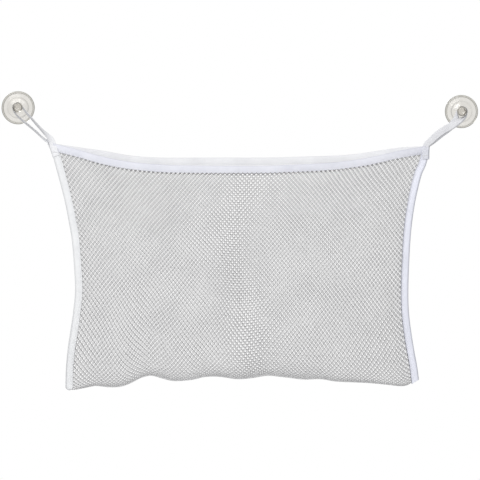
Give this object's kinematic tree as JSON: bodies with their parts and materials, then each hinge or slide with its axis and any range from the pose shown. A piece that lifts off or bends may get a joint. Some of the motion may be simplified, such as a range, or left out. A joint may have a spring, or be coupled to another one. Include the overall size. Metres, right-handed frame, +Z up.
{
  "type": "bath toy organizer",
  "caption": "Wide white net pouch with an open hemmed mouth and bound sides, hung at its upper corners by tape loops on clear suction cups, to hold bath toys on a wall.",
  "frame": {"origin": "on the wall plane, midway between the axes of the two suction cups", "axes": "+X to the right as seen from the room, +Y into the wall, +Z up"},
  "size_m": [0.645, 0.0853, 0.402],
  "materials": {
    "net": "white polyester diamond net, matt",
    "tape": "white woven folded tape with a faint cool tint",
    "thread": "white sewing thread, slight sheen",
    "clear_pvc": "clear soft PVC with a faint grey-beige tint, glossy"
  },
  "bodies": {
    "hanging_loops": {"left_hanging_loop": "tape", "right_hanging_loop": "tape"},
    "left_cup": {"left_suction_cup": "clear_pvc"},
    "right_cup": {"right_suction_cup": "clear_pvc"},
    "bag": {"left_loop_sewn_end": "tape", "right_loop_sewn_end": "tape", "left_corner_bartack": "thread", "right_corner_bartack": "thread", "back_net_panel": "net", "bottom_net_fold": "net", "back_hem_tape": "tape", "back_hem_stitching": "thread", "left_side_binding": "tape", "right_side_binding": "tape", "left_binding_stitching": "thread", "right_binding_stitching": "thread"},
    "front_panel": {"front_net_panel": "net", "front_hem_tape": "tape", "front_hem_stitching": "thread"}
  },
  "joints": [
    {"name": "bag_tilt", "type": "hinge", "parent": "hanging_loops", "child": "bag", "pos_m": [0, -0.0164, -0.047], "axis": [-1, 0, 0], "range_deg": [0, 70]},
    {"name": "mouth_open", "type": "hinge", "parent": "bag", "child": "front_panel", "pos_m": [0, -0.0855, -0.33], "axis": [1, 0, 0], "range_deg": [0, 10], "stiffness_Nm_per_rad": 0.3},
    {"name": "left_cup_turn", "type": "hinge", "parent": "hanging_loops", "child": "left_cup", "pos_m": [-0.3, 0, 0], "axis": [0, 1, 0], "continuous": true},
    {"name": "right_cup_turn", "type": "hinge", "parent": "hanging_loops", "child": "right_cup", "pos_m": [0.3, 0, 0], "axis": [0, 1, 0], "continuous": true}
  ]
}
